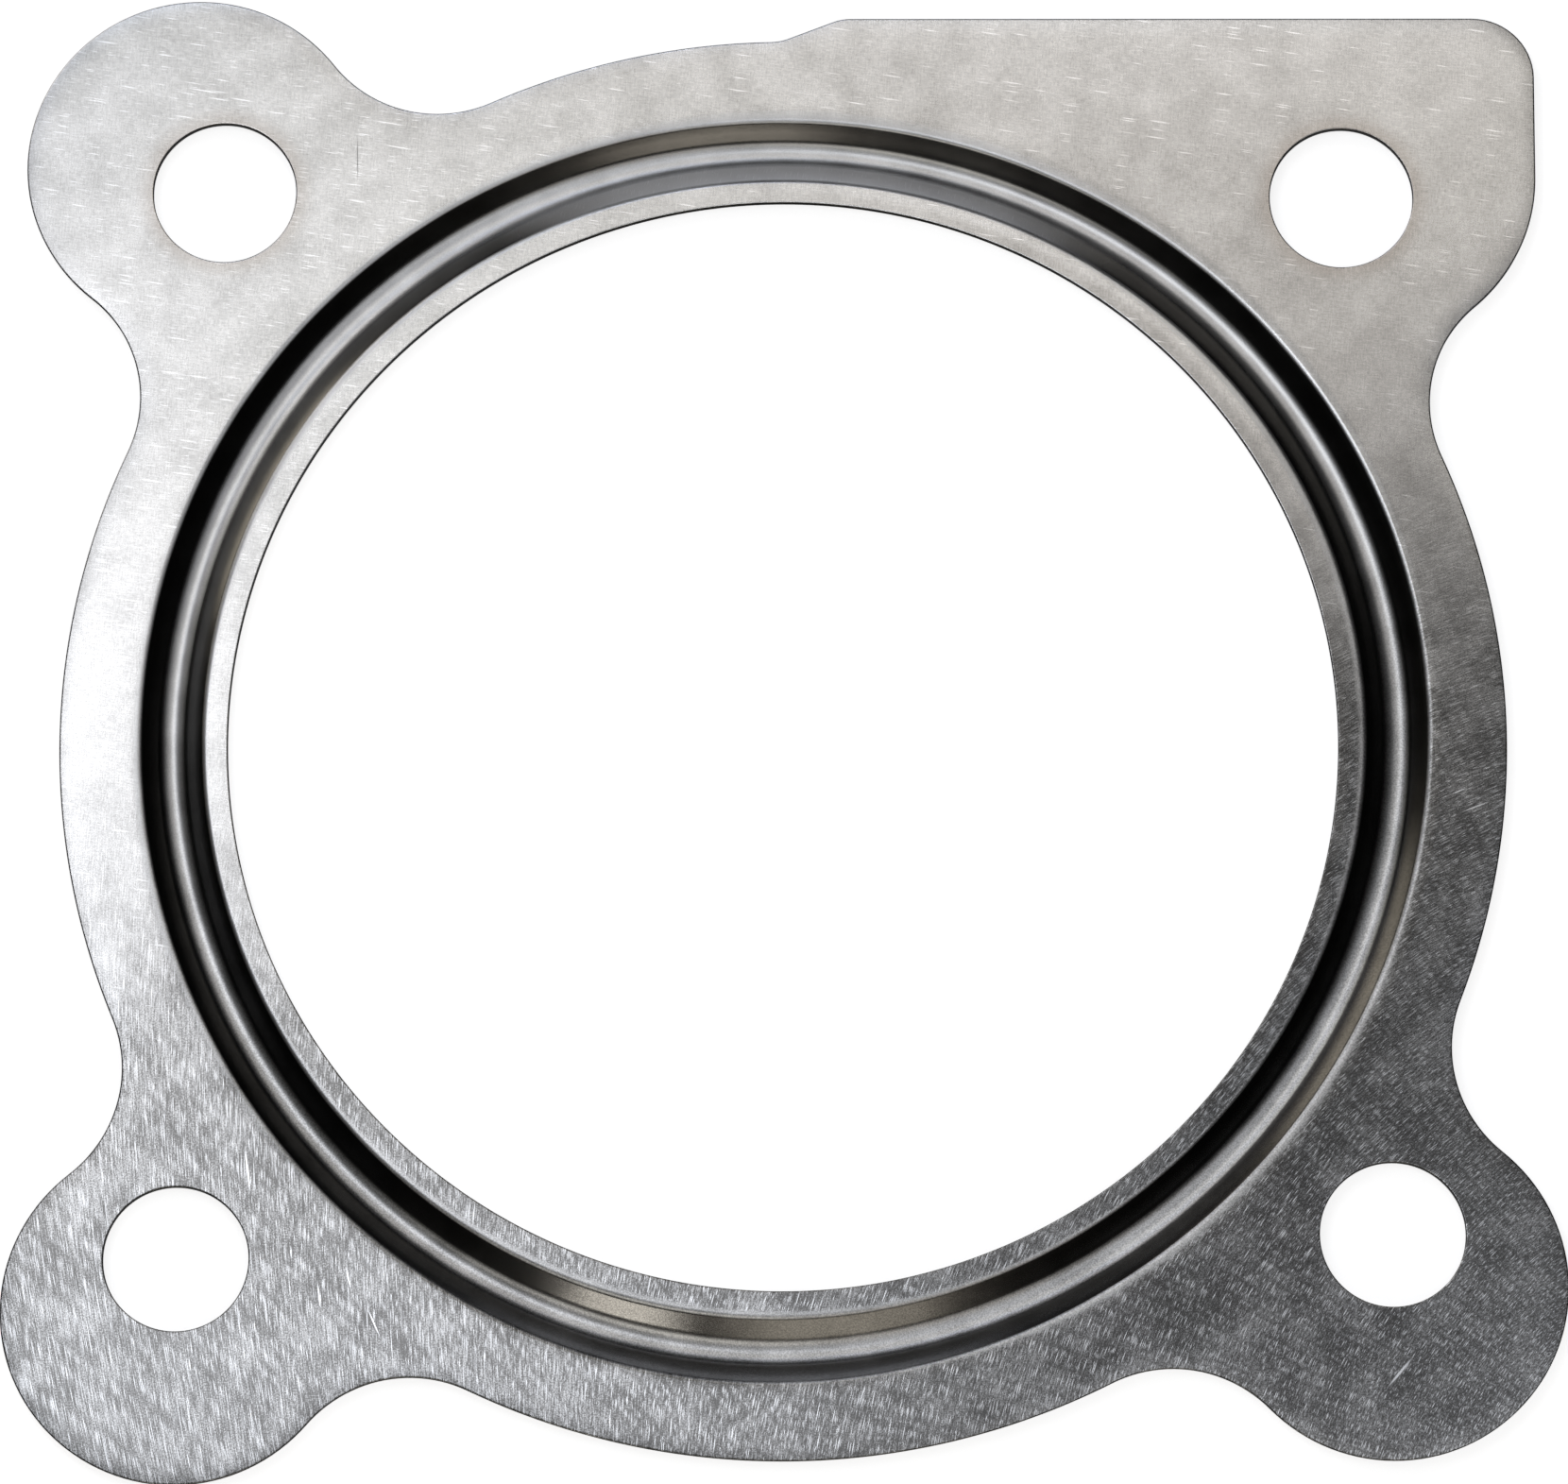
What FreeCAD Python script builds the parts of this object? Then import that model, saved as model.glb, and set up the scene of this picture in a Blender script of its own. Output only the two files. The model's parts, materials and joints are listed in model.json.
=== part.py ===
"""Exhaust gasket: one blanked stainless sheet with a sealing bead pressed round its bore.

Millimetres. +Z points at the face that carries the groove, the origin is on the bore axis
at the level of the bead's crest, so the gasket rests on Z = 0 the way it lies on a bench.
"""
import FreeCAD
import Part
import Sketcher
import math
import os

from FreeCAD import Vector

SIZES = {
    # Sheet and the round parts about the bore axis
    "sheet_thickness": 0.6,
    "bore_radius": 34.6,
    "inner_flange_width": 1.2,
    "bead_half_width": 2.3,
    "bead_depth": 1.2,
    "shoulder_bend_radius": 0.2,
    "valley_bend_radius": 1.1,
    "rim_width": 4.7,
    # Bolt holes: angle about the bore, and how far each centre lies outside the rim circle
    "hole_radius": 4.5,
    "upper_left_hole_angle": 135.0,
    "upper_left_hole_outset": 4.75,
    "upper_right_hole_angle": 44.8,
    "upper_right_hole_outset": 4.4,
    "lower_left_hole_angle": 221.1,
    "lower_left_hole_outset": 4.5,
    "lower_right_hole_angle": 320.5,
    "lower_right_hole_outset": 3.7,
    # Ears round the holes, and the waists that lead from the rim into them
    "ear_radius": 10.8,
    "upper_ear_outset": 2.4,
    "lower_ear_drop": 3.2,
    "waist_radius": 8.3,
    # Square corner in place of the upper right ear
    "corner_ear_radius": 10.9,
    "corner_ear_outset": 1.9,
    "corner_rise": 1.5,
    "corner_round_radius": 3.9,
    # Step where the corner's straight top edge comes down to the rim
    "step_start": 4.2,
    "step_slope": 21.0,
    "step_radius": 3.0,
}

BEAD_RADIUS = "(Sizes.bore_radius + Sizes.inner_flange_width + Sizes.bead_half_width)"
RIM_RADIUS = f"({BEAD_RADIUS} + Sizes.bead_half_width + Sizes.rim_width)"
# The formed ring and the flat blank meet halfway between the bead and the rim.
SEAM_RADIUS = f"({BEAD_RADIUS} + Sizes.bead_half_width + Sizes.rim_width / 2)"


doc = FreeCAD.newDocument("ExhaustGasket")

# Driving dimensions
sizes = doc.addObject("Spreadsheet::Sheet", "Sizes")
for row, (alias, value) in enumerate(SIZES.items(), 1):
    sizes.set(f"A{row}", alias)
    sizes.set(f"B{row}", str(value))
    sizes.setAlias(f"B{row}", alias)
doc.recompute()


def number(expression):
    """The present value of an expression, for the starting place of a sketch element."""
    value = sizes.evalExpression(expression)
    return float(getattr(value, "Value", value))


# Hole and ear centres, as x and y expressions

def polar(radius, angle):
    return f"{radius} * cos({angle} * 1deg)", f"{radius} * sin({angle} * 1deg)"


def hole_centre(name):
    return polar(f"({RIM_RADIUS} + Sizes.{name}_hole_outset)", f"Sizes.{name}_hole_angle")


def outset_ear_centre(name, outset):
    reach = f"({RIM_RADIUS} + Sizes.{name}_hole_outset + Sizes.{outset})"
    return polar(reach, f"Sizes.{name}_hole_angle")


def dropped_ear_centre(name):
    x, y = hole_centre(name)
    return x, f"{y} - Sizes.lower_ear_drop"


HOLES = [hole_centre(name) for name in ("upper_left", "upper_right", "lower_left", "lower_right")]
CORNER = outset_ear_centre("upper_right", "corner_ear_outset")
EARS = [
    outset_ear_centre("upper_left", "upper_ear_outset"),
    dropped_ear_centre("lower_left"),
    dropped_ear_centre("lower_right"),
]


# Sketch helpers

def new_sketch(body, name, plane_role):
    plane = next(f for f in body.Origin.OriginFeatures if f.Role == plane_role)
    sketch = body.newObject("Sketcher::SketchObject", name)
    sketch.AttachmentSupport = (plane, "")
    sketch.MapMode = "FlatFace"
    return sketch


def fix(sketch, expression, *constraint):
    """A dimension of the sketch, held to an expression in the driving dimensions."""
    value = number(expression)
    if constraint[0] == "Angle":
        value = math.radians(value)
    index = sketch.addConstraint(Sketcher.Constraint(*constraint, value))
    sketch.setExpression(f"Constraints[{index}]", expression)


def fix_point(sketch, geometry, point, x, y):
    fix(sketch, x, "DistanceX", -1, 1, geometry, point)
    fix(sketch, y, "DistanceY", -1, 1, geometry, point)


def add_circle(sketch, x, y, radius):
    centre = Vector(number(x), number(y), 0)
    index = sketch.addGeometry(Part.Circle(centre, Vector(0, 0, 1), number(radius)), False)
    fix_point(sketch, index, 3, x, y)
    fix(sketch, radius, "Radius", index)


class Loop:
    """A closed chain of lines and arcs, followed anticlockwise. Each link keeps its geometry
    index and which of its two ends comes first."""

    def __init__(self, sketch):
        self.sketch = sketch
        self.links = []

    def line(self, start, end):
        index = self.sketch.addGeometry(Part.LineSegment(start, end), False)
        self.links.append((index, 1, 2))
        return index

    def arc(self, centre, start, end, turn=1):
        """An arc about a centre from start to end; turn is -1 where it runs clockwise."""
        first, last = (start, end) if turn > 0 else (end, start)
        low = math.atan2(first.y - centre.y, first.x - centre.x)
        high = math.atan2(last.y - centre.y, last.x - centre.x)
        if high < low:
            high += 2 * math.pi
        circle = Part.Circle(centre, Vector(0, 0, 1), centre.distanceToPoint(start))
        index = self.sketch.addGeometry(Part.ArcOfCircle(circle, low, high), False)
        self.links.append((index, 1, 2) if turn > 0 else (index, 2, 1))
        return index

    def close(self, sharp=()):
        """Joins each link to the next: tangent, or only touching after a link in sharp."""
        for link, following in zip(self.links, self.links[1:] + self.links[:1]):
            kind = "Coincident" if link[0] in sharp else "Tangent"
            ends = (link[0], link[2], following[0], following[1])
            self.sketch.addConstraint(Sketcher.Constraint(kind, *ends))


def toward(start, end, distance):
    """The point at a distance from start on the straight way to end."""
    return start + (end - start).normalize() * distance


def touching_centre(centre, radius, waist_radius, side):
    """Centre of a waist arc that touches the rim circle and an ear circle from outside, to
    the left of the ear's own direction from the bore for side 1 and to its right for -1."""
    rim_reach = number(RIM_RADIUS) + waist_radius
    ear_reach = radius + waist_radius
    span = centre.Length
    along = (rim_reach**2 - ear_reach**2 + span**2) / (2 * span)
    across = math.sqrt(rim_reach**2 - along**2)
    outward = centre / span
    return outward * along + Vector(-outward.y, outward.x, 0) * across * side


def step_foot_centre(point, direction, radius):
    """Centre of the arc that touches the rim circle from outside and the step's slope, which
    runs down from a point of it in a direction."""
    above = point + Vector(direction.y, -direction.x, 0) * radius
    reach = number(RIM_RADIUS) + radius
    drop = -above.dot(direction)
    return above + direction * (drop - math.sqrt(drop**2 - above.dot(above) + reach**2))


# Outline of the blank: rim, three round ears and the square corner

def draw_outline(sketch):
    rim = number(RIM_RADIUS)
    waist = SIZES["waist_radius"]
    origin = Vector(0, 0, 0)
    loop = Loop(sketch)

    corner = Vector(number(CORNER[0]), number(CORNER[1]), 0)
    corner_radius = SIZES["corner_ear_radius"]
    corner_waist = touching_centre(corner, corner_radius, waist, -1)
    side_x = corner.x + corner_radius
    top_y = rim + SIZES["corner_rise"]
    round_radius = SIZES["corner_round_radius"]
    round_centre = Vector(side_x - round_radius, top_y - round_radius, 0)

    slope = math.radians(SIZES["step_slope"])
    step_radius = SIZES["step_radius"]
    down = Vector(-math.cos(slope), -math.sin(slope), 0)
    crest = Vector(SIZES["step_start"], top_y - step_radius, 0)
    crest_end = crest + Vector(-math.sin(slope), math.cos(slope), 0) * step_radius
    foot = step_foot_centre(crest_end, down, step_radius)
    foot_start = foot + Vector(math.sin(slope), -math.cos(slope), 0) * step_radius

    # Corner: waist, ear arc, straight side, rounded corner, straight top
    waists = [loop.arc(corner_waist, toward(corner_waist, origin, waist),
                       toward(corner_waist, corner, waist), -1)]
    corner_arc = loop.arc(corner, toward(corner, corner_waist, corner_radius),
                          corner + Vector(corner_radius, 0, 0))
    side = loop.line(Vector(side_x, corner.y, 0), Vector(side_x, round_centre.y, 0))
    round_arc = loop.arc(round_centre, Vector(side_x, round_centre.y, 0),
                         Vector(round_centre.x, top_y, 0))
    top = loop.line(Vector(round_centre.x, top_y, 0), Vector(crest.x, top_y, 0))

    # Step from the straight top down to the rim
    crest_arc = loop.arc(crest, Vector(crest.x, top_y, 0), crest_end)
    fall = loop.line(crest_end, foot_start)
    foot_arc = loop.arc(foot, foot_start, toward(foot, origin, step_radius), -1)

    # Rim and the three round ears, each between two waists
    rims = []
    ears = []
    rim_start = toward(origin, foot, rim)
    for x, y in EARS:
        ear = Vector(number(x), number(y), 0)
        radius = SIZES["ear_radius"]
        before = touching_centre(ear, radius, waist, -1)
        after = touching_centre(ear, radius, waist, 1)
        rims.append(loop.arc(origin, rim_start, toward(origin, before, rim)))
        waists.append(loop.arc(before, toward(before, origin, waist),
                               toward(before, ear, waist), -1))
        ears.append(loop.arc(ear, toward(ear, before, radius), toward(ear, after, radius)))
        waists.append(loop.arc(after, toward(after, ear, waist),
                               toward(after, origin, waist), -1))
        rim_start = toward(origin, after, rim)
    rims.append(loop.arc(origin, rim_start, toward(origin, corner_waist, rim)))
    loop.close()

    for index in rims:
        sketch.addConstraint(Sketcher.Constraint("Coincident", index, 3, -1, 1))
    for group, radius in ((rims, RIM_RADIUS), (waists, "Sizes.waist_radius"),
                          (ears, "Sizes.ear_radius")):
        fix(sketch, radius, "Radius", group[0])
        for index in group[1:]:
            sketch.addConstraint(Sketcher.Constraint("Equal", group[0], index))
    for index, (x, y) in zip(ears, EARS):
        fix_point(sketch, index, 3, x, y)

    fix_point(sketch, corner_arc, 3, *CORNER)
    fix(sketch, "Sizes.corner_ear_radius", "Radius", corner_arc)
    fix(sketch, "Sizes.corner_round_radius", "Radius", round_arc)
    sketch.addConstraint(Sketcher.Constraint("Vertical", side))
    sketch.addConstraint(Sketcher.Constraint("Horizontal", top))
    fix_point(sketch, top, 2, "Sizes.step_start", f"{RIM_RADIUS} + Sizes.corner_rise")
    fix(sketch, "Sizes.step_radius", "Radius", crest_arc)
    sketch.addConstraint(Sketcher.Constraint("Equal", crest_arc, foot_arc))
    fix(sketch, "(Sizes.step_slope - 180) * 1deg", "Angle", fall)


# Section of the formed ring: flange, bead of constant thickness, and land out to the seam

def draw_bead_section(sketch):
    thickness = SIZES["sheet_thickness"]
    bend = SIZES["shoulder_bend_radius"]
    valley = SIZES["valley_bend_radius"]
    half_width = SIZES["bead_half_width"]
    depth = SIZES["bead_depth"]
    bore = SIZES["bore_radius"]
    bead = number(BEAD_RADIUS)
    seam = number(SEAM_RADIUS)

    shoulder_in = Vector(bead - half_width, -bend, 0)
    shoulder_out = Vector(bead + half_width, -bend, 0)
    bottom = Vector(bead, thickness + valley - depth, 0)
    # Lean of the walls: the tangent that crosses between a shoulder arc and the valley arc
    between = bottom - shoulder_in
    lean = math.pi / 2 - math.atan2(between.y, between.x)
    lean -= math.acos((thickness + bend + valley) / between.Length)
    up_in = Vector(math.sin(lean), math.cos(lean), 0)
    up_out = Vector(-math.sin(lean), math.cos(lean), 0)
    outer_bend = bend + thickness
    outer_valley = valley + thickness
    loop = Loop(sketch)

    # Underside, from the bore outward
    flange_low = loop.line(Vector(bore, 0, 0), Vector(shoulder_in.x, 0, 0))
    low_in = loop.arc(shoulder_in, Vector(shoulder_in.x, 0, 0), shoulder_in + up_in * bend, -1)
    loop.line(shoulder_in + up_in * bend, bottom - up_in * outer_valley)
    crest = loop.arc(bottom, bottom - up_in * outer_valley, bottom - up_out * outer_valley)
    loop.line(bottom - up_out * outer_valley, shoulder_out + up_out * bend)
    low_out = loop.arc(shoulder_out, shoulder_out + up_out * bend,
                       Vector(shoulder_out.x, 0, 0), -1)
    land_low = loop.line(Vector(shoulder_out.x, 0, 0), Vector(seam, 0, 0))
    seam_edge = loop.line(Vector(seam, 0, 0), Vector(seam, thickness, 0))

    # Upper face, back to the bore
    land_top = loop.line(Vector(seam, thickness, 0), Vector(shoulder_out.x, thickness, 0))
    top_out = loop.arc(shoulder_out, Vector(shoulder_out.x, thickness, 0),
                       shoulder_out + up_out * outer_bend)
    loop.line(shoulder_out + up_out * outer_bend, bottom - up_out * valley)
    groove = loop.arc(bottom, bottom - up_out * valley, bottom - up_in * valley, -1)
    loop.line(bottom - up_in * valley, shoulder_in + up_in * outer_bend)
    top_in = loop.arc(shoulder_in, shoulder_in + up_in * outer_bend,
                      Vector(shoulder_in.x, thickness, 0))
    flange_top = loop.line(Vector(shoulder_in.x, thickness, 0), Vector(bore, thickness, 0))
    bore_edge = loop.line(Vector(bore, thickness, 0), Vector(bore, 0, 0))
    loop.close(sharp=(land_low, seam_edge, flange_top, bore_edge))

    for index in (flange_low, land_low, land_top, flange_top):
        sketch.addConstraint(Sketcher.Constraint("Horizontal", index))
    for index in (seam_edge, bore_edge):
        sketch.addConstraint(Sketcher.Constraint("Vertical", index))
    for lower, upper in ((low_in, top_in), (low_out, top_out), (crest, groove)):
        sketch.addConstraint(Sketcher.Constraint("Coincident", lower, 3, upper, 3))
    for lower, upper in ((low_in, top_in), (low_out, top_out)):
        fix(sketch, "Sizes.shoulder_bend_radius", "Radius", lower)
        fix(sketch, "Sizes.shoulder_bend_radius + Sizes.sheet_thickness", "Radius", upper)
    fix(sketch, "Sizes.valley_bend_radius", "Radius", groove)
    fix(sketch, "Sizes.valley_bend_radius + Sizes.sheet_thickness", "Radius", crest)

    shoulder_y = "-Sizes.shoulder_bend_radius"
    valley_y = "Sizes.sheet_thickness + Sizes.valley_bend_radius - Sizes.bead_depth"
    fix_point(sketch, top_in, 3, f"{BEAD_RADIUS} - Sizes.bead_half_width", shoulder_y)
    fix_point(sketch, top_out, 3, f"{BEAD_RADIUS} + Sizes.bead_half_width", shoulder_y)
    fix_point(sketch, groove, 3, BEAD_RADIUS, valley_y)
    fix(sketch, "Sizes.bore_radius", "DistanceX", -1, 1, bore_edge, 1)
    fix(sketch, SEAM_RADIUS, "DistanceX", -1, 1, seam_edge, 1)


# Gasket: one body
gasket = doc.addObject("PartDesign::Body", "gasket")
gasket.Label = "gasket"

outline = new_sketch(gasket, "BlankOutline", "XY_Plane")
draw_outline(outline)
add_circle(outline, "0", "0", SEAM_RADIUS)
blank = gasket.newObject("PartDesign::Pad", "Blank")
blank.Profile = outline
blank.setExpression("Length", "Sizes.sheet_thickness")
doc.recompute()

section = new_sketch(gasket, "BeadSection", "XZ_Plane")
draw_bead_section(section)
formed_ring = gasket.newObject("PartDesign::Revolution", "FormedRing")
formed_ring.Profile = section
formed_ring.ReferenceAxis = (section, ["V_Axis"])
formed_ring.Angle = 360
formed_ring.Refine = True
doc.recompute()

hole_plan = new_sketch(gasket, "HolePlan", "XY_Plane")
for hole_x, hole_y in HOLES:
    add_circle(hole_plan, hole_x, hole_y, "Sizes.hole_radius")
bolt_holes = gasket.newObject("PartDesign::Pocket", "BoltHoles")
bolt_holes.Profile = hole_plan
bolt_holes.Type = "ThroughAll"
bolt_holes.Midplane = True
doc.recompute()
if bolt_holes.Shape.Volume >= formed_ring.Shape.Volume:
    raise RuntimeError("the bolt holes cut nothing")

gasket.Tip = bolt_holes
# The crest of the bead stands on Z = 0.
gasket.setExpression(".Placement.Base.z", "Sizes.bead_depth")
doc.recompute()

# Checks, then one STEP file for the sub-part
failed = [o.Name for o in doc.Objects if "Invalid" in o.State or "Error" in o.State]
if failed:
    raise RuntimeError(f"failed: {failed}")
shape = gasket.Shape
if shape.isNull() or not shape.isValid() or len(shape.Solids) != 1:
    raise RuntimeError("gasket is not one valid solid")

os.makedirs("parts", exist_ok=True)
shape.exportStep(f"parts/{gasket.Label}.step")
print("gasket", round(shape.Volume, 2), "mm3", shape.BoundBox)
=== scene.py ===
"""Exhaust gasket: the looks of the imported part, in metres, in the part's own frame."""
import json
import math

import bmesh
import bpy
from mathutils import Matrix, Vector

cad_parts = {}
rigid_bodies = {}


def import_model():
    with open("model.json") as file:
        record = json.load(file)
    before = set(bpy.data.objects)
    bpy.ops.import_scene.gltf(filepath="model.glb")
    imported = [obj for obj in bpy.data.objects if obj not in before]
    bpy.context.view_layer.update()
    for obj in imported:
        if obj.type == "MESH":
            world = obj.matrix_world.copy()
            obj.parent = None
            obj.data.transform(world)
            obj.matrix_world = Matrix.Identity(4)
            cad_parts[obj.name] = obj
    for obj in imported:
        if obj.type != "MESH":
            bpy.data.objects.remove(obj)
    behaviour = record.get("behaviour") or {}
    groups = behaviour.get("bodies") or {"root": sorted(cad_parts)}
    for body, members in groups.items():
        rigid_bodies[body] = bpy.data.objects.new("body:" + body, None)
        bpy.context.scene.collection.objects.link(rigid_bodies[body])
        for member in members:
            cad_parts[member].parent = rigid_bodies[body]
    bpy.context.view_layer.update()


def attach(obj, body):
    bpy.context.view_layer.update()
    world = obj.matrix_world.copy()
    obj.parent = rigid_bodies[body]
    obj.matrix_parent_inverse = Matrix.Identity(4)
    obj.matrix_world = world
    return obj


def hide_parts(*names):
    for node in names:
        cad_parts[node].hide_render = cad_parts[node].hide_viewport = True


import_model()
bpy.ops.object.select_all(action="DESELECT")


# ---------------------------------------------------------------------------------------
# The gasket sheet.
# One layer of bright cold-rolled stainless steel, 0.6 mm thick. A press blanks the outline and
# the holes and forms a sealing bead round the bore.
# ---------------------------------------------------------------------------------------

MM = 0.001
SHEET_THICKNESS = 0.6 * MM
SHEET_TOP = 1.8 * MM

BORE_RADIUS = 34.6 * MM
BEAD_RADIUS = 38.15 * MM
BEAD_HALF_WIDTH = 2.21 * MM
BEAD_DEPTH = 1.2 * MM
SHOULDER_RADIUS = 0.65 * MM
VALLEY_RADIUS = 1.5 * MM
SEAM_RADIUS = 41.0 * MM
RIM_RADIUS = 45.1 * MM
HOLE_RADIUS = 4.5 * MM

RING_STEPS = 384
HOLE_STEPS = 96
EDGE_STEP = math.radians(1.5)


def round_the_bore(radius, degrees):
    """A point of the sheet by its distance and direction from the bore's axis."""
    return Vector((math.cos(math.radians(degrees)), math.sin(math.radians(degrees)), 0)) * radius


# Bolt holes, the ears round them and the square corner
UPPER_LEFT = round_the_bore(RIM_RADIUS + 4.75 * MM, 135.0)
UPPER_RIGHT = round_the_bore(RIM_RADIUS + 4.4 * MM, 44.8)
LOWER_LEFT = round_the_bore(RIM_RADIUS + 4.5 * MM, 221.1)
LOWER_RIGHT = round_the_bore(RIM_RADIUS + 3.7 * MM, 320.5)
HOLES = (UPPER_LEFT, UPPER_RIGHT, LOWER_LEFT, LOWER_RIGHT)

EAR_RADIUS = 10.8 * MM
EARS = (
    round_the_bore(RIM_RADIUS + 7.15 * MM, 135.0),
    LOWER_LEFT - Vector((0, 3.2 * MM, 0)),
    LOWER_RIGHT - Vector((0, 3.2 * MM, 0)),
)
WAIST_RADIUS = 8.3 * MM
CORNER_CENTRE = round_the_bore(RIM_RADIUS + 6.3 * MM, 44.8)
CORNER_RADIUS = 10.9 * MM
CORNER_ROUND_RADIUS = 3.9 * MM
CORNER_TOP = RIM_RADIUS + 1.5 * MM
STEP_START = 4.2 * MM
STEP_SLOPE = math.radians(21.0)
STEP_RADIUS = 3.0 * MM


def toward(start, end, distance):
    """The point this far from start on the way to end."""
    return start + (end - start).normalized() * distance


def waist_centre(ear, ear_radius, side):
    """Centre of the waist arc that touches the rim and an ear from outside."""
    rim_reach = RIM_RADIUS + WAIST_RADIUS
    ear_reach = ear_radius + WAIST_RADIUS
    along = (rim_reach**2 - ear_reach**2 + ear.length**2) / (2 * ear.length)
    across = math.sqrt(rim_reach**2 - along**2)
    outward = ear.normalized()
    return outward * along + Vector((-outward.y, outward.x, 0)) * across * side


class Line:
    """The free end of a line of edges, carried on from place to place like a pencil."""

    def __init__(self, start):
        bpy.ops.mesh.primitive_circle_add(vertices=3, radius=MM, location=start)
        bpy.ops.mesh.merge(type="CENTER")
        self.end = start

    def straight(self, end, steps=1):
        """Draws the end straight on to a point, in equal steps."""
        for _ in range(steps):
            bpy.ops.mesh.extrude_region_move(
                TRANSFORM_OT_translate={"value": (end - self.end) / steps})
        self.end = end

    def arc(self, centre, end, axis=(0, 0, 1), step=EDGE_STEP):
        """Swings the end about a centre, anticlockwise seen against the axis."""
        first, last = self.end - centre, end - centre
        axis = Vector(axis)
        angle = math.atan2(axis.dot(first.cross(last)), first.dot(last))
        if angle < 0:
            angle += 2 * math.pi
        bpy.ops.mesh.spin(steps=max(2, round(angle / step)), angle=-angle, center=centre,
                          axis=axis)
        self.end = end


bpy.ops.mesh.primitive_circle_add(vertices=RING_STEPS, radius=SEAM_RADIUS,
                                  location=(0, 0, SHEET_TOP))
sheet = bpy.context.object
sheet.name = sheet.data.name = "gasket_sheet"
bpy.ops.object.transform_apply(location=True, rotation=True, scale=True)
bpy.ops.object.mode_set(mode="EDIT")
bpy.ops.mesh.select_mode(type="VERT")

# Blanked outline, drawn anticlockwise from the waist below the square corner
UP = Vector((0, 0, SHEET_TOP))
DOWNWARD = (0, 0, -1)
corner_waist = waist_centre(CORNER_CENTRE, CORNER_RADIUS, -1)
side_x = CORNER_CENTRE.x + CORNER_RADIUS
round_centre = Vector((side_x - CORNER_ROUND_RADIUS, CORNER_TOP - CORNER_ROUND_RADIUS, 0))
outline = Line(toward(corner_waist, Vector(), WAIST_RADIUS) + UP)
outline.arc(corner_waist + UP, toward(corner_waist, CORNER_CENTRE, WAIST_RADIUS) + UP, DOWNWARD)
outline.arc(CORNER_CENTRE + UP, CORNER_CENTRE + Vector((CORNER_RADIUS, 0, 0)) + UP)
outline.straight(Vector((side_x, round_centre.y, 0)) + UP, 8)
outline.arc(round_centre + UP, Vector((round_centre.x, CORNER_TOP, 0)) + UP, step=4 * EDGE_STEP)
outline.straight(Vector((STEP_START, CORNER_TOP, 0)) + UP, 40)

# Step from the corner's straight top edge down to the rim
step_crest = Vector((STEP_START, CORNER_TOP - STEP_RADIUS, 0))
slope_normal = Vector((-math.sin(STEP_SLOPE), math.cos(STEP_SLOPE), 0))
slope_down = Vector((-math.cos(STEP_SLOPE), -math.sin(STEP_SLOPE), 0))
crest_end = step_crest + slope_normal * STEP_RADIUS
above = crest_end + slope_normal * STEP_RADIUS
drop = -above.dot(slope_down)
step_foot = above + slope_down * (
    drop - math.sqrt(drop**2 - above.length_squared + (RIM_RADIUS + STEP_RADIUS) ** 2))
outline.arc(step_crest + UP, crest_end + UP, step=4 * EDGE_STEP)
outline.straight(step_foot - slope_normal * STEP_RADIUS + UP, 2)
outline.arc(step_foot + UP, toward(step_foot, Vector(), STEP_RADIUS) + UP, DOWNWARD,
            4 * EDGE_STEP)

# Rim, and the three round ears between their waists
for ear in EARS:
    before = waist_centre(ear, EAR_RADIUS, -1)
    after = waist_centre(ear, EAR_RADIUS, 1)
    outline.arc(UP, toward(Vector(), before, RIM_RADIUS) + UP, step=EDGE_STEP / 2)
    outline.arc(before + UP, toward(before, ear, WAIST_RADIUS) + UP, DOWNWARD, 2 * EDGE_STEP)
    outline.arc(ear + UP, toward(ear, after, EAR_RADIUS) + UP, step=2 * EDGE_STEP)
    outline.arc(after + UP, toward(after, Vector(), WAIST_RADIUS) + UP, DOWNWARD, 2 * EDGE_STEP)
outline.arc(UP, toward(Vector(), corner_waist, RIM_RADIUS) + UP, step=EDGE_STEP / 2)

for hole in HOLES:
    bpy.ops.mesh.primitive_circle_add(vertices=HOLE_STEPS, radius=HOLE_RADIUS,
                                      location=hole + UP)
bpy.ops.mesh.select_all(action="SELECT")
bpy.ops.mesh.remove_doubles(threshold=1e-6)
bpy.ops.mesh.fill()

# Narrow strips along every blanked edge, for the roll that the cut leaves there
ROLL_STRIPS = (0.1 * MM, 0.3 * MM, 0.4 * MM, 0.5 * MM)
for strip in ROLL_STRIPS:
    bpy.ops.mesh.inset(thickness=strip, use_boundary=True)

# Section of the formed ring, drawn from the seam in to the bore and spun round the axis
shoulder_z = SHEET_TOP - SHOULDER_RADIUS
valley_z = SHEET_TOP - BEAD_DEPTH + VALLEY_RADIUS
across = Vector((BEAD_HALF_WIDTH, 0, valley_z - shoulder_z))
lean = math.pi / 2 - math.atan2(across.z, across.x)
lean -= math.acos((SHOULDER_RADIUS + VALLEY_RADIUS) / across.length)
inward_lean = Vector((-math.sin(lean), 0, math.cos(lean)))
outward_lean = Vector((math.sin(lean), 0, math.cos(lean)))
outer_shoulder = Vector((BEAD_RADIUS + BEAD_HALF_WIDTH, 0, shoulder_z))
inner_shoulder = Vector((BEAD_RADIUS - BEAD_HALF_WIDTH, 0, shoulder_z))
valley = Vector((BEAD_RADIUS, 0, valley_z))
rise = Vector((0, 0, SHOULDER_RADIUS))
BEND_STEP = math.radians(5)
BORE_STRIP = 0.1 * MM

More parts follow.
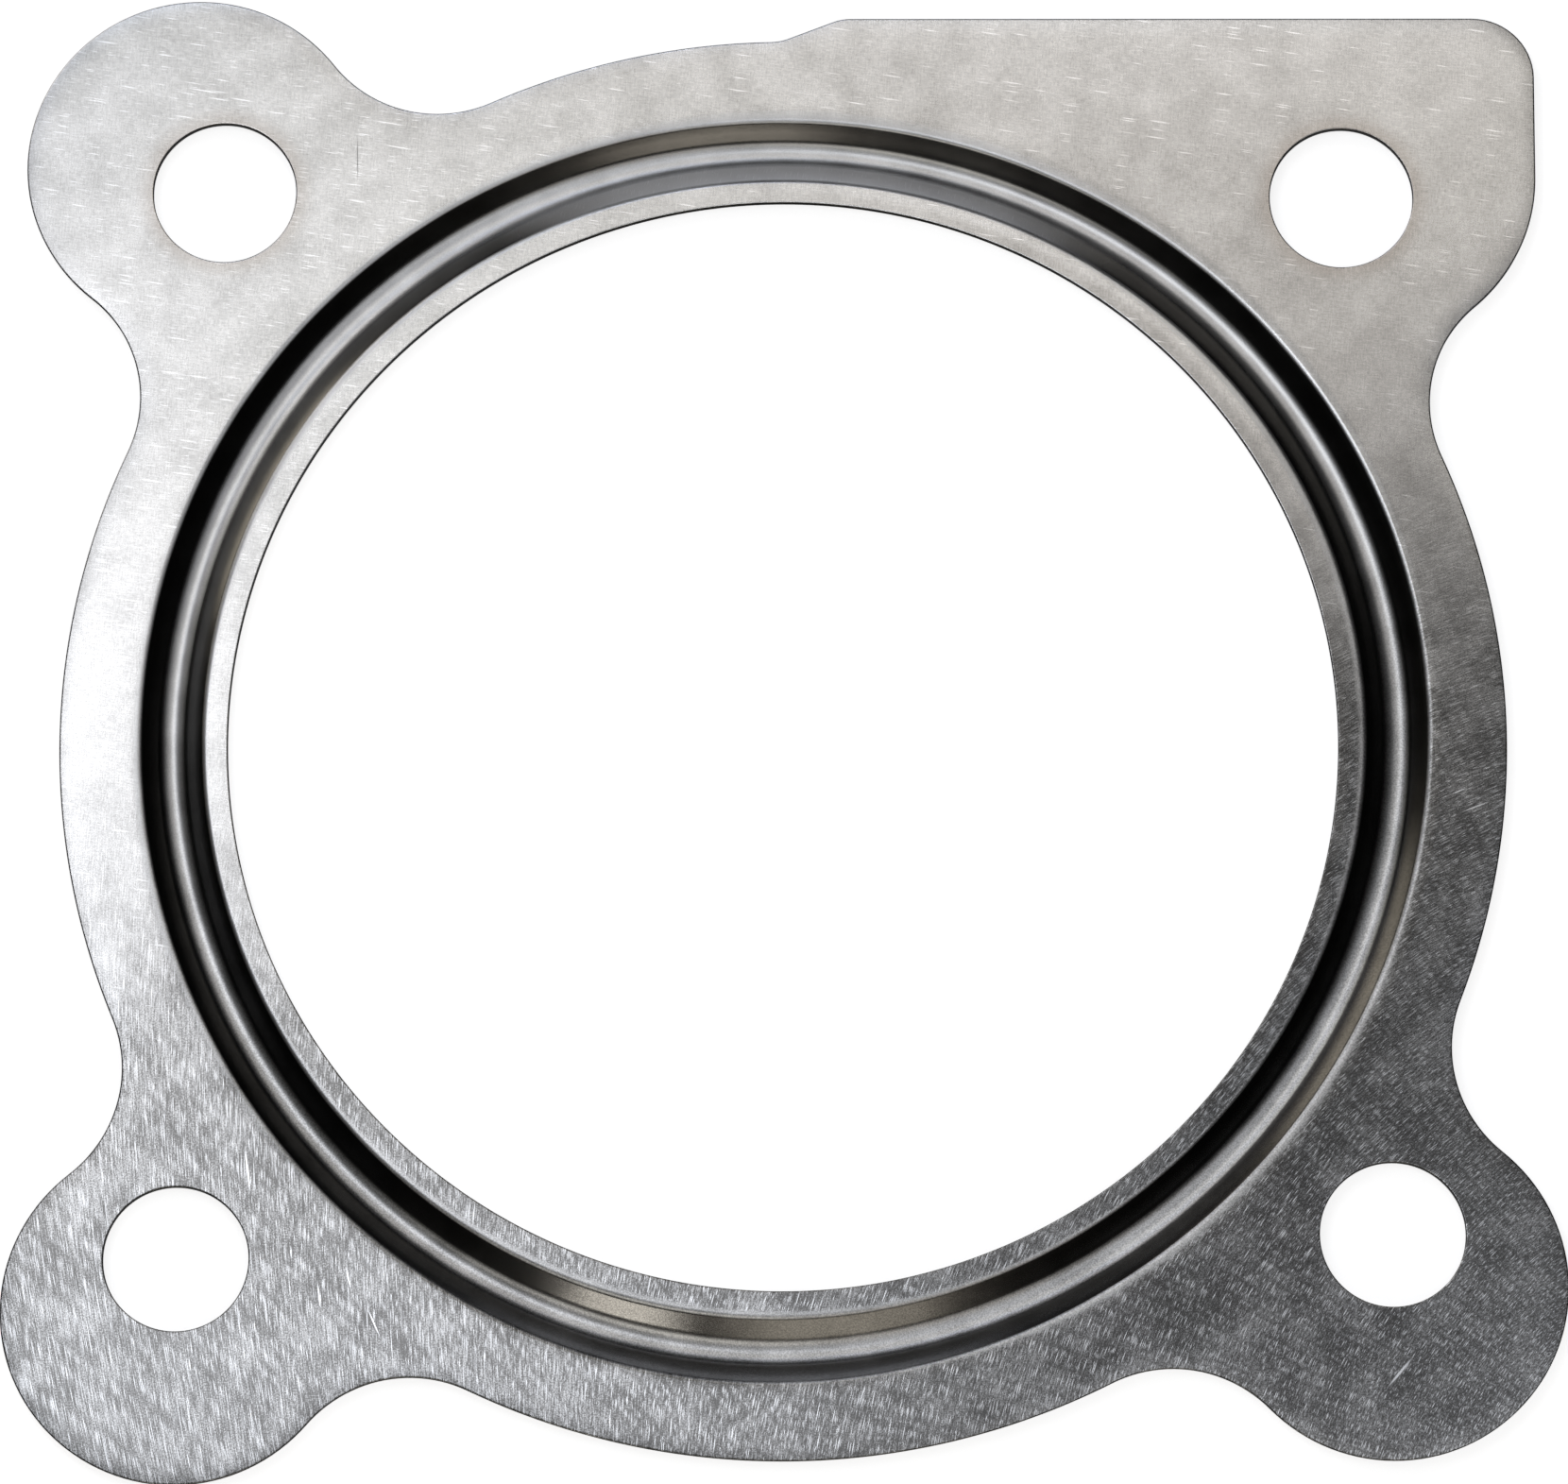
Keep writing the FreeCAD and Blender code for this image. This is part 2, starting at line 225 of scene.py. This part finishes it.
bpy.ops.mesh.select_all(action="DESELECT")
section = Line(Vector((SEAM_RADIUS, 0, SHEET_TOP)))
section.straight(outer_shoulder + rise, 6)
section.arc(outer_shoulder, outer_shoulder + inward_lean * SHOULDER_RADIUS, (0, -1, 0), BEND_STEP)
section.straight(valley - inward_lean * VALLEY_RADIUS, 2)
section.arc(valley, valley - outward_lean * VALLEY_RADIUS, (0, 1, 0), BEND_STEP)
section.straight(inner_shoulder + outward_lean * SHOULDER_RADIUS, 2)
section.arc(inner_shoulder, inner_shoulder + rise, (0, -1, 0), BEND_STEP)
section.straight(Vector((BORE_RADIUS + BORE_STRIP, 0, SHEET_TOP)), 8)
section.straight(Vector((BORE_RADIUS, 0, SHEET_TOP)))
bpy.ops.mesh.select_linked()
bpy.ops.mesh.spin(steps=RING_STEPS, angle=2 * math.pi, center=(0, 0, 0), axis=(0, 0, 1))
bpy.ops.mesh.select_all(action="SELECT")
bpy.ops.mesh.remove_doubles(threshold=2e-6)
bpy.ops.mesh.normals_make_consistent(inside=False)
mesh = bmesh.from_edit_mesh(sheet.data)
if sum(face.normal.z for face in mesh.faces) < 0:
    bpy.ops.mesh.flip_normals()

# The press leaves the ring a little out of round, with three soft corners, and draws the sheet
# down a little on both sides of the bead, most on the right
CORNERS_TURN = math.radians(18.5)
CORNERS_AT_BORE = 0.10 * MM
CORNERS_MORE_AT_SEAM = 0.13 * MM
OVAL_TURN = math.radians(35)
OVAL_SIZE = 0.095 * MM
FADE_AT_BORE = 1.5 * MM
FADE_AT_SEAM = 0.75 * MM
DRAW_DEPTH = 0.03 * MM
DRAW_REACH = 0.85 * MM
DRAW_TURN = 0.35
DRAWN_CIRCLES = (40.2 * MM, 36.0 * MM)
for vert in mesh.verts:
    radius = vert.co.xy.length
    around = math.atan2(vert.co.y, vert.co.x)
    if BORE_RADIUS + 0.2 * MM < radius < SEAM_RADIUS - 0.01 * MM:
        corners = math.cos(3 * (around - CORNERS_TURN))
        oval = math.cos(2 * (around - OVAL_TURN))
        inner_share = min((radius - BORE_RADIUS) / FADE_AT_BORE, 1)
        outer_share = min((SEAM_RADIUS - radius) / FADE_AT_SEAM, 1)
        across = (radius - BORE_RADIUS) / (SEAM_RADIUS - BORE_RADIUS)
        out = (CORNERS_AT_BORE + CORNERS_MORE_AT_SEAM * across) * corners + OVAL_SIZE * oval
        vert.co.xy *= 1 + out * inner_share * outer_share / radius
    draw = DRAW_DEPTH * (0.55 + 0.45 * math.cos(around - DRAW_TURN))
    for circle in DRAWN_CIRCLES:
        near = max(1 - abs(radius - circle) / DRAW_REACH, 0)
        vert.co.z -= draw * near * near * (3 - 2 * near)
bmesh.update_edit_mesh(sheet.data)

# Roll of the outer edge: the sheet bends down a little where it was cut
ROLL_DROP = 0.04 * MM
ROLL_REACH = 1.3 * MM
bpy.ops.mesh.select_all(action="DESELECT")
for edge in mesh.edges:
    middle = (edge.verts[0].co + edge.verts[1].co) / 2
    on_hole = any((middle - UP - hole).length < HOLE_RADIUS + 0.2 * MM for hole in HOLES)
    if edge.is_boundary and middle.xy.length > SEAM_RADIUS and not on_hole:
        edge.select_set(True)
bmesh.update_edit_mesh(sheet.data)
bpy.ops.transform.translate(value=(0, 0, -ROLL_DROP), use_proportional_edit=True,
                            proportional_edit_falloff="SHARP", proportional_size=ROLL_REACH)
bpy.ops.object.mode_set(mode="OBJECT")

# The sheet's thickness, and the burnish along its cut edges
BURNISH_WIDTH = 0.05 * MM
thickness = sheet.modifiers.new("thickness", "SOLIDIFY")
thickness.thickness = SHEET_THICKNESS
thickness.offset = -1
thickness.use_even_offset = True
bpy.ops.object.modifier_apply(modifier=thickness.name)
burnish = sheet.modifiers.new("burnish", "BEVEL")
burnish.width = BURNISH_WIDTH
burnish.segments = 2
burnish.limit_method = "ANGLE"
burnish.angle_limit = math.radians(50)
burnish.use_clamp_overlap = False
bpy.ops.object.modifier_apply(modifier=burnish.name)
bpy.ops.object.shade_smooth()


class Shade:
    """A shader socket. Written in an expression it adds the Math nodes that work it out."""

    def __init__(self, tree, socket=None):
        self.tree = tree
        self.socket = socket

    def node(self, kind, settings=(), inputs=(), output=0):
        """Adds a node: its settings first, then the values or links of its sockets."""
        node = self.tree.nodes.new("ShaderNode" + kind)
        for name, value in dict(settings).items():
            setattr(node, name, value)
        for name, value in dict(inputs).items():
            if isinstance(value, Shade):
                self.tree.links.new(value.socket, node.inputs[name])
            else:
                node.inputs[name].default_value = value
        return Shade(self.tree, node.outputs[output])

    def beside(self, name):
        """Another output of the same node."""
        return Shade(self.tree, self.socket.node.outputs[name])

    def math(self, operation, *others):
        """A Math node on this value and the others."""
        return self.node("Math", {"operation": operation}, enumerate((self, *others)))

    def __add__(self, other):
        return self.math("ADD", other)

    def __sub__(self, other):
        return self.math("SUBTRACT", other)

    def __mul__(self, other):
        return self.math("MULTIPLY", other)

    def __truediv__(self, other):
        return self.math("DIVIDE", other)

    def __rsub__(self, other):
        return (self * -1) + other

    __radd__ = __add__
    __rmul__ = __mul__

    def ramp(self, low, high):
        """0 up to low, 1 from high on, smooth between them."""
        return self.node("MapRange", {"interpolation_type": "SMOOTHSTEP"},
                         {"Value": self, "From Min": low, "From Max": high})

    def between(self, first, second):
        """A colour between two, by this value."""
        return self.node("Mix", {"data_type": "RGBA"}, {0: self, 6: first, 7: second}, 2)


steel = bpy.data.materials.new("stainless_sheet")
steel.use_nodes = True
shader = steel.node_tree.nodes["Principled BSDF"]
start = Shade(steel.node_tree)
place = start.node("TexCoord", output="Object")
x, y = (place.node("SeparateXYZ", (), {0: place}, axis) for axis in (0, 1))
from_axis = place.node("VectorMath", {"operation": "LENGTH"}, {
    0: place.node("VectorMath", {"operation": "MULTIPLY"}, {0: place, 1: (1000, 1000, 0)})}, 1)


def straight_lie(angle, length, width):
    """Cells of this length and width that all lie one way."""
    return place.node("Mapping", {"vector_type": "TEXTURE"}, {
        "Vector": place, "Rotation": (0, 0, math.radians(angle)), "Scale": (length, width, 1)})


# Middle of the wide curves, in millimetres, and how far from it a cell has its true length
CURVE_X = 66
CURVE_Y = -55
CURVE_RADIUS = 50 * MM


def round_lie(length, width):
    """Cells of this length and width on wide curves round a point off the lower right ear."""
    along = x * 1000 - CURVE_X
    across = y * 1000 - CURVE_Y + (x * 1000).math("MINIMUM", 0)
    turn = across.math("ARCTAN2", along * -1)
    reach = (along * along + across * across).math("SQRT")
    return place.node("CombineXYZ", (), {
        0: turn * (CURVE_RADIUS / length), 1: reach * (MM / width)})


def brushed(lie, low, high):
    """Fine grain along a lie, from 0 to 1."""
    return place.node("TexNoise", {"noise_dimensions": "2D"}, {
        "Vector": lie, "Scale": 1, "Detail": 2, "Roughness": 0.6}).ramp(low, high)


def marks(lie, share):
    """Short single marks along a lie: 0 on the plain sheet, 1 along the brightest mark."""
    distance = place.node("TexVoronoi", {"voronoi_dimensions": "2D"}, {"Vector": lie, "Scale": 1})
    chance = distance.beside("Color")
    picked, reach = (chance.node("SeparateXYZ", (), {0: chance}, axis) for axis in (0, 1))
    mark = (1 - distance / (reach * 0.4 + 0.12)).ramp(0, 0.8)
    return mark * picked.ramp(1 - share, 1)


def grains(size, detail=2):
    """Even grain of this size with no direction, round 0.5."""
    return place.node("TexNoise", (), {"Vector": place, "Scale": 1 / size, "Detail": detail})


def toward_side(degrees, half, soft=12):
    """1 on the part of the sheet that lies this way from the bore, 0 further round."""
    turn = math.radians(degrees)
    ahead = (x * (math.cos(turn) * 1000) + y * (math.sin(turn) * 1000)) / from_axis
    return ahead.ramp(math.cos(math.radians(half + soft)), math.cos(math.radians(half - soft)))


def long_scratch(x_mm, y_mm, angle, length_mm, width_mm=0.12):
    """One scratch at its place on the sheet, 1 along its middle."""
    laid = place.node("Mapping", {"vector_type": "TEXTURE"}, {
        "Vector": place, "Location": (x_mm * MM, y_mm * MM, 0),
        "Rotation": (0, 0, math.radians(angle)), "Scale": (length_mm * MM, width_mm * MM, 1)})
    return (1 - laid.node("VectorMath", {"operation": "LENGTH"}, {0: laid}, 1) * 2).ramp(0, 0.7)


# Where things are: the formed ring, the sheet's lower side, its steep walls, the stretch of the
# inner wall at the top that gets a painted highlight, and the cut edges. Radii are in millimetres
RING_MIDDLE = 38.1
SHOULDER_MIDDLE = 40.35
on_ring = (from_axis - RING_MIDDLE).math("ABSOLUTE").ramp(2.4, 2.0)
on_flat = 1 - on_ring
lower = toward_side(-75, 90, 24)
upper = 1 - lower
normal = place.node("NewGeometry", output="Normal")
steep = normal.node("SeparateXYZ", (), {0: normal}, 2).math("ABSOLUTE").ramp(0.95, 0.82)
# The stretch of the upper inner wall that gets a painted highlight
wall_highlight = toward_side(87, 25, 9) * from_axis.ramp(38.4, 37.6) * steep
cut = normal.node("SeparateXYZ", (), {0: normal.beside("True Normal")}, 2)
cut = cut.math("ABSOLUTE").ramp(0.6, 0.4)

# Grain and mottling of the rolled surface
fine = grains(0.09 * MM).ramp(0.3, 0.7)
pebble = grains(0.25 * MM)
cloud = grains(2.5 * MM, 3)
grain_low = brushed(round_lie(0.8 * MM, 0.075 * MM), 0.3, 0.75)
grain_high = brushed(straight_lie(172, 0.6 * MM, 0.09 * MM), 0.2, 0.8)
grain_cross = brushed(straight_lie(86, 0.6 * MM, 0.09 * MM), 0.2, 0.8)

# Handling marks, painted white as glints: many short ones on the lower side, fewer at its right
# and lower left
fewer = 1 - toward_side(0, 32) * 0.4 - toward_side(225, 25) * 0.35
scratches_and_glints = marks(round_lie(1.25 * MM, 0.09 * MM), 0.6) * fewer
short_marks = marks(round_lie(0.55 * MM, 0.07 * MM), 0.6) * 0.85
scratches_and_glints = scratches_and_glints.math("MAXIMUM", short_marks) * lower

# A few longer ones on the upper side, more on the upper left ear
UPPER_LIE = 171
upper_marks = marks(straight_lie(UPPER_LIE, 1.9 * MM, 0.15 * MM), 0.13)
ear_marks = marks(straight_lie(UPPER_LIE + 1, 1.1 * MM, 0.11 * MM), 0.3)
ear_marks = ear_marks * toward_side(138, 28) * 0.7
scratches_and_glints = scratches_and_glints.math("MAXIMUM", upper_marks.math("MAXIMUM", ear_marks) * upper)

# Single long scratch marks, also painted white as glints: place x and y, direction, length and,
# where it isn't usual, width
LONG_SCRATCHES = (
    (38.0, -39.6, 50, 3.0, 0.22), (32.5, -32.1, 52, 0.9),
    (-36.6, 41.9, 171, 2.6), (-25.0, 39.8, 171, 2.6), (-24.3, 38.2, 170, 2.3),
    (-34.2, 41.3, 170, 2.0), (-26.9, 34.7, 170, 1.5, 0.18),
    (-28.5, -34.9, 97, 1.9), (-33.0, -27.1, 97, 3.2, 0.16), (-26.7, -33.8, 102, 1.6, 0.14),
    (-25.1, -36.6, 114, 2.2),
    (42.1, -3.2, 22, 1.3), (43.1, -4.2, 21, 2.3),
)
for scratch in LONG_SCRATCHES:
    scratches_and_glints = scratches_and_glints.math("MAXIMUM", long_scratch(*scratch))
# Bright streaks on that stretch: painted highlight
wall_highlight_streaks = marks(straight_lie(78, 0.8 * MM, 0.09 * MM), 0.6) * wall_highlight
scratches_and_glints = (scratches_and_glints * on_flat).math("MAXIMUM", wall_highlight_streaks)
dark_line = long_scratch(-26.9, 37.5, 91, 3.6, 0.13)

# The surface is pebbled, most on the ring. Heights are in thousandths of a millimetre
height = pebble * (on_ring * 1.5 + 0.3)
bump = place.node("Bump", (), {"Strength": 1, "Distance": 0.001 * MM, "Height": height})
start.tree.links.new(bump.socket, shader.inputs["Normal"])

# Colour: a ground between two tones with painted shade on the lower side, the marks over it
# painted white as glints, painted shade on the steep walls and a painted highlight on the upper
# inner wall, a faint brown painted reflection round the upper holes, and painted shade on the cut
# edges
DARK_STEEL = (0.12, 0.117, 0.112, 1)
LIGHT_STEEL = (0.98, 0.972, 0.955, 1)
# White of the painted glints on the marks and of the painted highlight on the upper inner wall
PAINTED_HIGHLIGHT_WHITE = (1, 1, 1, 1)
DARK_MARK = (0.1, 0.1, 0.1, 1)
# Painted shade for the steep walls, then a painted brown reflection and painted shade for the cut
# edges
STEEP_WALL_PAINTED_SHADE = (0.02, 0.019, 0.018, 1)
BROWN_PAINTED_REFLECTION = (0.30, 0.22, 0.15, 1)
CUT_EDGE_PAINTED_SHADE = (0.03, 0.028, 0.025, 1)
TINT_REACH = 5.9
TINT_FULL = 4.4
GROUND_TONE = 0.6
# Painted shade on the lower side, and how much of it the ring there is spared
LOWER_PAINTED_SHADE = 0.48
LOWER_RING_SHADE_SPARED = 0.36
STEEP_PAINTED_SHADE_AMOUNT = 0.72
# The grain and brushing show stronger on the lower side, as painted glints
tone = (fine - 0.5) * (lower * 0.24 + 0.09) + (cloud - 0.5) * (lower * 0.1 + 0.45)
# Painted shade darkens the lower side, less of it on the ring there
tone = tone + GROUND_TONE - lower * LOWER_PAINTED_SHADE + on_ring * lower * LOWER_RING_SHADE_SPARED
tone = tone + ((grain_low - 0.5) * lower * 0.3
               + (grain_high + grain_cross - 1) * upper * 0.14) * on_flat
colour = tone.between(DARK_STEEL, LIGHT_STEEL)
# The marks are real scratches; their white is a painted glint
colour = scratches_and_glints.between(colour, PAINTED_HIGHLIGHT_WHITE)
colour = (dark_line * 0.6).between(colour, DARK_MARK)
# Painted highlight on the stretch of upper inner wall
colour = (wall_highlight * 0.6).between(colour, PAINTED_HIGHLIGHT_WHITE)
# Painted shade on the steep walls, except on that stretch of upper inner wall
colour = ((1 - wall_highlight) * steep * STEEP_PAINTED_SHADE_AMOUNT).between(colour, STEEP_WALL_PAINTED_SHADE)
# Painted reflection: a faint brown tint round the upper holes
for hole in (UPPER_LEFT, UPPER_RIGHT):
    near = place.node("VectorMath", {"operation": "DISTANCE"}, {0: place, 1: hole + UP}, 1) * 1000
    colour = (near.ramp(TINT_REACH, TINT_FULL) * 0.3).between(colour, BROWN_PAINTED_REFLECTION)
# Painted shade on the cut edges
colour = cut.between(colour, CUT_EDGE_PAINTED_SHADE)
start.tree.links.new(colour.socket, shader.inputs["Base Color"])

# Gloss: duller on the ring, its shoulder and the cut edges, sharper on the steep walls
ROUGHNESS = 0.235
shoulder_line = (from_axis - SHOULDER_MIDDLE).math("ABSOLUTE").ramp(0.4, 0.1)
rough = (cloud - 0.5) * 0.06 + scratches_and_glints * lower * 0.04 + on_ring * 0.1 + ROUGHNESS + cut * 0.3
rough = rough + shoulder_line * 0.06 - steep * 0.12 + wall_highlight * 0.3
start.tree.links.new(rough.socket, shader.inputs["Roughness"])
shader.inputs["Metallic"].default_value = 1
sheet.data.materials.append(steel)

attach(sheet, "root")
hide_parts("gasket")


# ---------------------------------------------------------------------------------------
# The floor.
# A plain pale board that the gasket's shadow falls on. The camera, and glass, see it glow white.
# The glow isn't mirrored, so that the steep walls of the bead stay dark, as in the photo.
# ---------------------------------------------------------------------------------------

FLOOR_SIZE = 6
FLOOR_GLOW = 0.8
FLOOR_PALE = (0.85, 0.85, 0.85, 1)
bpy.ops.mesh.primitive_plane_add(size=FLOOR_SIZE, location=(0, 0, 0))
floor = bpy.context.object
floor.name = "floor"
white = bpy.data.materials.new("floor")
white.use_nodes = True
tree = white.node_tree
plain = tree.nodes["Principled BSDF"]
plain.inputs["Base Color"].default_value = FLOOR_PALE
plain.inputs["Roughness"].default_value = 1
plain.inputs["Specular IOR Level"].default_value = 0
plain.inputs["Emission Color"].default_value = (1, 1, 1, 1)
path = Shade(tree).node("LightPath", output="Is Camera Ray")
through = Shade(tree).node("LightPath", output="Is Transmission Ray")
glow = (path + through) * FLOOR_GLOW
tree.links.new(glow.socket, plain.inputs["Emission Strength"])
floor.data.materials.append(white)


# Camera, where the photo's was: its tilt shows in the bore's far wall and in the holes
PICTURE_WIDTH = 1660
FOCAL_PIXELS = 10000
SENSOR_WIDTH = 36
CAMERA_TILT = math.radians(11.4799)
CAMERA_TURN = math.radians(0.4842)
CAMERA_PLACE = (0.00505, -0.1172, 0.5784)
camera_data = bpy.data.cameras.new("camera")
camera = bpy.data.objects.new("camera", camera_data)
bpy.context.scene.collection.objects.link(camera)
camera_data.sensor_width = SENSOR_WIDTH
camera_data.lens = SENSOR_WIDTH * FOCAL_PIXELS / PICTURE_WIDTH
camera.rotation_mode = "ZYX"
camera.rotation_euler = (CAMERA_TILT, CAMERA_TURN, 0)
camera.location = CAMERA_PLACE
bpy.context.scene.camera = camera


# Lamps: plain panels, some overhead and some low down round the part
def panel(name, radiance, centre, size, aim=None):
    """A lamp of this radiance in red, green and blue. It faces down, or stands up to face the
    axis from the direction that aim gives."""
    level = max(radiance)
    data = bpy.data.lights.new(name, "AREA")
    data.shape = "RECTANGLE"
    data.size, data.size_y = size
    data.energy = level * math.pi * size[0] * size[1]
    data.color = [channel / level for channel in radiance]
    lamp = bpy.data.objects.new(name, data)
    bpy.context.scene.collection.objects.link(lamp)
    lamp.location = centre
    lamp.visible_camera = False
    if aim is not None:
        lamp.rotation_euler = (math.pi / 2, 0, math.radians(aim + 90))


# Overhead: radiance, then the panel's edges in x and y
OVERHEAD = 0.35
for name, radiance, (x0, x1, y0, y1) in (
    ("outer_left_upper", (0.99, 1.06, 1.31), (-0.180, -0.120, 0.150, 0.210)),
    ("left_low", (3.10, 3.24, 3.50), (-0.120, -0.060, -0.030, 0.030)),
    ("left_middle", (3.09, 3.14, 3.30), (-0.120, -0.060, 0.030, 0.090)),
    ("left_high", (1.28, 1.30, 1.34), (-0.120, -0.060, 0.090, 0.150)),
    ("left_upper", (0.70, 0.72, 0.72), (-0.120, -0.060, 0.150, 0.210)),
    ("left_back", (1.91, 2.18, 2.70), (-0.120, -0.060, 0.210, 0.270)),
    ("centre_low", (2.81, 2.91, 3.14), (-0.060, 0.000, -0.030, 0.030)),
    ("centre_middle", (0.44, 0.41, 0.35), (-0.060, 0.000, 0.030, 0.090)),
    ("centre_high", (1.23, 1.22, 1.20), (-0.060, 0.000, 0.090, 0.150)),
    ("centre_upper", (0.62, 0.56, 0.48), (-0.060, 0.000, 0.150, 0.210)),
    ("centre_back", (2.32, 2.52, 2.99), (-0.060, 0.000, 0.210, 0.270)),
    ("right_high", (0.66, 0.61, 0.56), (0.000, 0.060, 0.090, 0.150)),
    ("right_upper", (1.65, 1.62, 1.60), (0.000, 0.075, 0.150, 0.210)),
    ("outer_right_low", (0.60, 0.63, 0.69), (0.060, 0.120, -0.030, 0.030)),
    ("outer_right_middle", (0.36, 0.37, 0.39), (0.060, 0.120, 0.030, 0.090)),
    ("outer_right_high", (1.36, 1.30, 1.22), (0.060, 0.120, 0.108, 0.165)),
    ("far_left_back_far", (0.75, 0.75, 0.69), (-0.510, -0.330, 0.210, 0.390)),
    ("wide_left_back_far", (1.91, 1.87, 1.87), (-0.330, -0.150, 0.210, 0.390)),
    ("left_front_far", (1.35, 1.32, 1.25), (-0.180, 0.000, -0.345, -0.195)),
    ("outer_right_front_far", (0.71, 0.68, 0.65), (0.000, 0.180, -0.345, -0.195)),
    ("outer_right_front", (0.88, 0.90, 0.95), (0.000, 0.180, -0.165, -0.015)),
):
    panel(name, radiance, ((x0 + x1) / 2, (y0 + y1) / 2, OVERHEAD), (x1 - x0, y1 - y0))

# Low down: radiance, direction from the axis, distance from it, height, width and length
for name, radiance, azimuth, away, up, width, tall in (
    ("wall_front", (1.35, 1.24, 1.06), 277, 0.400, 0.150, 0.160, 0.170),
    ("wall_near", (5.20, 4.90, 4.40), 252, 0.165, 0.050, 0.032, 0.022),
    ("wall_corner", (1.30, 1.18, 0.97), 144, 0.400, 0.065, 0.170, 0.110),
    ("wall_back", (0.62, 0.64, 0.70), 88, 0.400, 0.090, 0.240, 0.160),
    ("wall_left", (0.24, 0.22, 0.22), 135, 0.400, 0.150, 0.200, 0.120),
):
    turn = math.radians(azimuth)
    panel(name, radiance, (away * math.cos(turn), away * math.sin(turn), up), (width, tall),
          azimuth)

WORLD_GREY = 0.002
world = bpy.data.worlds.new("world")
bpy.context.scene.world = world
world.use_nodes = True
background = world.node_tree.nodes["Background"]
background.inputs["Color"].default_value = (WORLD_GREY, WORLD_GREY, WORLD_GREY, 1)
bpy.context.scene.view_settings.view_transform = "Standard"
